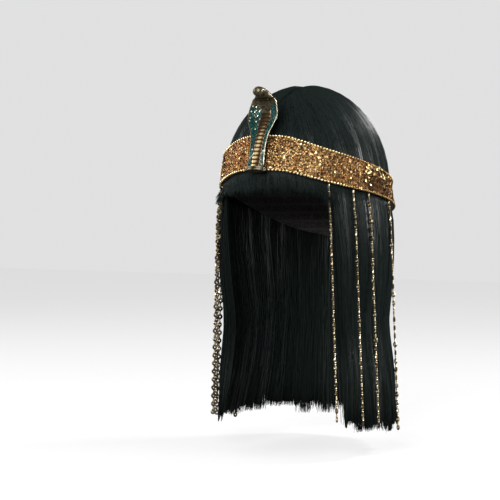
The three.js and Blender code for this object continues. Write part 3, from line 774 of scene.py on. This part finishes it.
SCALE_PITCH, SCALE_ROW_SHARE, SCALE_SIZE, SCALE_TILT = 2.7, 0.62, 1.5, 0.22
SCALES_FROM, SCALES_SHORT, SCALES_REACH = 4, 6, 18
SCALE_EDGE = 1.0
UNDER_BELLY = 0.85
rng = np.random.default_rng(61)
scale_spots = []
for row, run in enumerate(np.arange(SCALES_FROM, hood_end - SCALES_SHORT, SCALE_PITCH * SCALE_ROW_SHARE)):
    reach = float(cobra_curves[1](run))
    for x in np.arange(-SCALES_REACH, SCALES_REACH, SCALE_PITCH) + SCALE_PITCH / 2 * (row % 2):
        if UNDER_BELLY * belly_half(reach) < abs(x) < reach - SCALE_EDGE:
            scale_spots.append((x, run))
scale_x, scale_run = np.array(scale_spots).T
scale_sections = [curve(scale_run) for curve in cobra_curves]
scale_up, scale_width, scale_depth, scale_forward, scale_curl, scale_pitch = scale_sections
bulge = np.sqrt(1 - (scale_x / scale_width) ** 2)
off = scale_depth * bulge + scale_curl * (scale_x / scale_width) ** 2
places = section_point(scale_up, scale_forward, scale_pitch, scale_x, off)
slope = scale_depth * scale_x / (bulge * scale_width**2) - 2 * scale_curl * scale_x / scale_width**2
scale_turn = np.radians(scale_pitch)
facing = np.stack([slope, -np.cos(scale_turn), -np.sin(scale_turn)], -1)
facing = unit(unit(facing) + rng.normal(0, SCALE_TILT, facing.shape))
upward = np.stack([0 * slope, -np.sin(scale_turn), np.cos(scale_turn)], -1)
sideways = unit(np.cross(upward, facing))
scale_axes = np.stack([sideways, np.cross(facing, sideways), facing], 1)
outline = np.array([(0, 1.0), (-0.62, 0.45), (-0.62, -0.3), (0, -0.95), (0.62, -0.3), (0.62, 0.45)])
scale_points = np.concatenate([
    np.column_stack([outline, np.full(6, -0.15)]),
    np.column_stack([0.55 * outline + [0, -0.1], np.full(6, 0.36)]),
])
scale_faces = [[i, (i + 1) % 6, 6 + (i + 1) % 6, 6 + i] for i in range(6)]
scale_faces += [list(range(6, 12)), list(range(5, -1, -1))]
SCALE_TINTS = [(0.0, TEAL_DEEP), (0.6, TEAL_WORN), (0.85, OLIVE_WORN), (1.0, SILVER_PAINTED_GLINT)]
scale_paint, nodes, links, shader = new_finish("scale_paint", 0.2, 0.3)
shader.inputs["Specular IOR Level"].default_value = 0.15
scale_wear_and_glints, _ = mapped_values(nodes, links, "tint")
links.new(colour_ramp(nodes, links, scale_wear_and_glints, SCALE_TINTS), shader.inputs["Base Color"])

# Scales to the right of the belly, and all by the foot, get more silver, which is painted glints over their
# random wear; the others are kept darker, as painted shade
GLINT_HOOD_UP, GLINT_FOOT_UP, GLINT_FOOT_RUN = 22, 2, 18
wear_and_glints = rng.random(len(scale_x))
low_wear_and_glints = np.where(scale_up > GLINT_FOOT_UP, 0.7 * wear_and_glints, wear_and_glints**0.6)
much_wear_and_glints = np.where(scale_up > GLINT_HOOD_UP, wear_and_glints**0.48, low_wear_and_glints)
wear_and_glints = np.where((scale_x < 0) | (scale_run < GLINT_FOOT_RUN), much_wear_and_glints, 0.15 + 0.35 * wear_and_glints)
tints = np.stack([wear_and_glints, 0 * wear_and_glints], -1)
sizes = np.full(len(scale_x), SCALE_SIZE)
cobra_scales = scattered(
    "cobra_scales", scale_points, scale_faces, places, scale_axes, sizes, scale_paint, tints, False,
)
seat_on_band(cobra_scales)

RIM_RADIUS, RIM_INSET, RIM_STEPS = 0.5, 0.985, 30


# Rolled rim along one edge of the hood: a bevelled path made into a mesh
def hood_rim(name, sign, paint):
    bpy.ops.object.select_all(action="DESELECT")
    bpy.ops.curve.primitive_nurbs_path_add()
    rim = bpy.context.object
    path = rim.data
    path.splines.clear()
    spline = path.splines.new("NURBS")
    runs = np.linspace(3, hood_end + 3, RIM_STEPS)
    up, width, _, forward, curl, pitch = (curve(runs) for curve in cobra_curves)
    spline.points.add(len(runs) - 1)
    edge = section_point(up, forward, pitch, sign * RIM_INSET * width, curl)
    for point, place in zip(spline.points, edge):
        point.co = (*(place * MM), 1)
    spline.use_endpoint_u = True
    path.bevel_depth = RIM_RADIUS * MM
    path.bevel_resolution = 2
    path.resolution_u = 3
    path.use_fill_caps = True
    bpy.ops.object.convert(target="MESH")
    rim = bpy.context.object
    rim.name = rim.data.name = name
    rim.data.materials.clear()
    rim.data.materials.append(paint)
    bpy.ops.object.shade_smooth()
    seat_on_band(rim)


# The rim on the wearer's left is gold; the rim on the wearer's right is painted olive instead, as painted
# shade on that edge
hood_rim("cobra_rim_left", 1, gold_paint)
hood_rim("cobra_rim_right", -1, olive_paint)

EYE_RADIUS, EYE_ACROSS, EYE_FORWARD, EYE_UP = 1.3, 5.2, 19, 57.8
eye_points, eye_faces = bead_mesh(segments=12, rings=8)
eye_places = np.array([(sign * EYE_ACROSS, -EYE_FORWARD, EYE_UP) for sign in (-1, 1)])
cobra_eyes = scattered(
    "cobra_eyes", eye_points, eye_faces, eye_places, np.broadcast_to(np.eye(3), (2, 3, 3)),
    np.full(2, EYE_RADIUS), gold_paint, np.zeros((2, 2)), True,
)
seat_on_band(cobra_eyes)

FOOT_STEPS = [
    # up, growth of the half sizes
    (-21, 0.3), (-20.6, 1), (-19.5, 1), (-19.2, 0.2),
    (-18.7, 0.2), (-18.4, 0.7), (-17.3, 0.7), (-16.5, -0.4),
]
FOOT_WIDTH, FOOT_DEPTH, FOOT_FORWARD, FOOT_SIDES = 9.6, 4.4, 5.4, 40
foot_rings = [
    (up, FOOT_WIDTH + grow, FOOT_DEPTH + grow, FOOT_FORWARD, 0.0, 0.0, 0.0) for up, grow in FOOT_STEPS
]
cobra_foot, _ = ringed_bar("cobra_foot", foot_rings, FOOT_SIDES, olive_paint, 0)
bpy.ops.object.shade_flat()
seat_on_band(cobra_foot)


# Bead strings: flat rings of gold-plated plastic, linked edge to edge by a thread with two seed
# beads between. Four hang on each side of the fringe, sewn under the band and free over the hair.
STRING_ANGLES = [46, 63, 75.5, 99.5]
STRING_LENGTH = 232
STRING_SEAM, STRING_FULLEST, STRING_HEM = 0.4, 128, 330.0
STRING_OUT = 3.3
RING_RADIUS, RING_HOLE, RING_THICKNESS = 2.8, 0.8, 1.6
RING_TURN, RING_TWIST = -60, 16
RING_PITCH, RING_FIRST = 8.4, 1
SEED_RADIUS, SEED_INSET = 1.05, 0.4
RING_SEGMENTS, SEED_SEGMENTS, SEED_RINGS = 12, 6, 4
BEAD_TINTS = [(0, (0.1, 0.078, 0.047)), (0.65, (0.21, 0.162, 0.096)), (1, (0.5, 0.43, 0.3))]
bead_gold, nodes, links, shader = new_finish("bead_gold", 0.3, 1.0)
bead_shine, _ = mapped_values(nodes, links, "tint")
links.new(colour_ramp(nodes, links, bead_shine, BEAD_TINTS), shader.inputs["Base Color"])


# Flat ring with rounded edges, standing in the XY plane
def ring_mesh(segments):
    middle = (RING_RADIUS + RING_HOLE) / 2
    reach = (RING_RADIUS - RING_HOLE) / 2
    half = RING_THICKNESS / 2
    profile = [(1, -0.4), (1, 0.4), (0.55, 1), (-0.55, 1), (-1, 0), (-0.55, -1), (0.55, -1)]
    corners = len(profile)
    points, faces = [], []
    for i in range(segments):
        turn = 2 * math.pi * i / segments
        for across, up in profile:
            radius = middle + reach * across
            points.append((radius * math.cos(turn), radius * math.sin(turn), half * up))
        here, after = i * corners, (i + 1) % segments * corners
        for k in range(corners):
            following = (k + 1) % corners
            faces.append([here + k, after + k, after + following, here + following])
    return np.array(points), faces


ring_points, ring_faces = ring_mesh(RING_SEGMENTS)
seed_points, seed_faces = bead_mesh(SEED_SEGMENTS, SEED_RINGS)
ring_at = np.arange(RING_RADIUS + RING_FIRST, STRING_LENGTH, RING_PITCH)
seed_gap = RING_PITCH / 2 - RING_RADIUS - SEED_INSET
seed_at = np.concatenate([ring_at[:-1] + RING_PITCH / 2 + shift * seed_gap for shift in (-1, 1)])
ring_sizes, seed_sizes = np.ones(len(ring_at)), np.full(len(seed_at), SEED_RADIUS)
seed_axes = np.broadcast_to(np.eye(3), (len(seed_at), 3, 3))
rng = np.random.default_rng(71)
for side_name, sign in (("left", 1), ("right", -1)):
    for number, angle in enumerate(STRING_ANGLES):
        name = f"bead_string_{side_name}_{number + 1}"
        string_drops = (float(band_foot(angle)) + STRING_SEAM, STRING_FULLEST, STRING_HEM)
        top, full, hem = (hair_points(sign * angle, drop, STRING_OUT)[0] for drop in string_drops)
        straight = unit(hem - full)
        tip = full + straight * (STRING_LENGTH - np.linalg.norm(full - top))
        path = np.array([top, full, tip])
        run = np.concatenate([[0], np.cumsum(np.linalg.norm(np.diff(path, axis=0), axis=1))])
        ring_places, seed_places = (
            np.stack([np.interp(at, run, path[:, k]) for k in range(3)], -1) for at in (ring_at, seed_at)
        )
        twist = np.radians(sign * RING_TURN + rng.normal(0, RING_TWIST, len(ring_at)))
        facing = np.stack([np.sin(twist), -np.cos(twist), 0 * twist], -1)
        sideways = np.stack([np.cos(twist), np.sin(twist), 0 * twist], -1)
        ring_axes = np.stack([sideways, np.cross(facing, sideways), facing], 1)
        tints = rng.random((len(ring_at), 2))
        rings = scattered(
            name, ring_points, ring_faces, ring_places, ring_axes, ring_sizes, bead_gold, tints, False,
        )
        tints = rng.uniform(0.5, 1, (len(seed_at), 2))
        seeds = scattered(
            name + "_seeds", seed_points, seed_faces, seed_places, seed_axes, seed_sizes, bead_gold, tints,
            False,
        )
        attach(rings, "root")
        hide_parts(name)
        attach(seeds, "root")


# Stage: a flat pale floor, an even white surround and five soft lights. The camera stands in front
# and to the left of the fringe, about level with the middle of the hair. Sizes here are in metres.
FLOOR_Z, FLOOR_SIZE, FLOOR_GLOW = -0.36, 6, 0.68
bpy.ops.object.select_all(action="DESELECT")
bpy.ops.mesh.primitive_plane_add(size=FLOOR_SIZE, location=(0, 0, FLOOR_Z))
floor = bpy.context.object
floor.name = "floor"
floor_paint, nodes, links, shader = new_finish("floor_paint", 0.9)
shader.inputs["Base Color"].default_value = (0.25, 0.25, 0.25, 1)
shader.inputs["Specular IOR Level"].default_value = 0.0
shader.inputs["Emission Color"].default_value = (1, 1, 1, 1)
ray = nodes.new("ShaderNodeLightPath").outputs["Is Camera Ray"]
links.new(math_node(nodes, links, "MULTIPLY", ray, FLOOR_GLOW), shader.inputs["Emission Strength"])
floor.data.materials.append(floor_paint)

STUDIO_SHOWN, STUDIO_LIGHT = 0.75, 0.15
world = bpy.data.worlds.new("studio")
bpy.context.scene.world = world
world.use_nodes = True
nodes, links = world.node_tree.nodes, world.node_tree.links
ray = nodes.new("ShaderNodeLightPath").outputs["Is Camera Ray"]
shown = math_node(nodes, links, "MULTIPLY_ADD", ray, STUDIO_SHOWN - STUDIO_LIGHT)
shown.node.inputs[2].default_value = STUDIO_LIGHT
links.new(shown, nodes["Background"].inputs["Strength"])
nodes["Background"].inputs["Color"].default_value = (1, 1, 1, 1)
bpy.context.scene.view_settings.view_transform = "Standard"

CAMERA_AZIMUTH, CAMERA_ELEVATION, CAMERA_DISTANCE = 29.5, 2.0, 1.6
CAMERA_LENS_MM, CAMERA_SENSOR_MM = 112, 36
AIM_RIGHT, AIM_UP = -0.0585, -0.156
azimuth, elevation = math.radians(CAMERA_AZIMUTH), math.radians(CAMERA_ELEVATION)
level = math.cos(elevation)
right = Vector((math.cos(azimuth), math.sin(azimuth), 0))
back = Vector((math.sin(azimuth) * level, -math.cos(azimuth) * level, math.sin(elevation)))
SOFT_LIGHTS = [
    # name, right in the picture, towards the camera, up, height aimed at, size, power in watts
    ("key_light", -0.55, 1.4, 0.5, -0.12, 1.0, 34),
    ("side_light", 1.3, 0.55, 0.22, -0.1, 0.6, 15),
    ("crown_light", 1.0, -0.25, 0.75, -0.05, 0.3, 14),
    ("left_light", -1.2, -0.1, 0.35, -0.1, 0.6, 8),
    ("back_light", -0.9, -1.1, 0.9, -0.1, 0.6, 6),
]
for name, light_right, light_back, light_up, aim_up, size, power in SOFT_LIGHTS:
    location = right * light_right + back * light_back + Vector((0, 0, light_up))
    bpy.ops.object.light_add(type="AREA", location=location)
    light = bpy.context.object
    light.name = name
    light.data.shape = "SQUARE"
    light.data.size = size
    light.data.energy = power
    light.rotation_euler = (Vector((0, 0, aim_up)) - location).to_track_quat("-Z", "Y").to_euler()

bpy.ops.object.camera_add()
camera = bpy.context.object
camera.name = "camera"
camera.data.lens = CAMERA_LENS_MM
camera.data.sensor_width = CAMERA_SENSOR_MM
aim = right * AIM_RIGHT + Vector((0, 0, AIM_UP))
camera.location = aim + back * CAMERA_DISTANCE
camera.rotation_euler = (-back).to_track_quat("-Z", "Y").to_euler()
bpy.context.scene.camera = camera
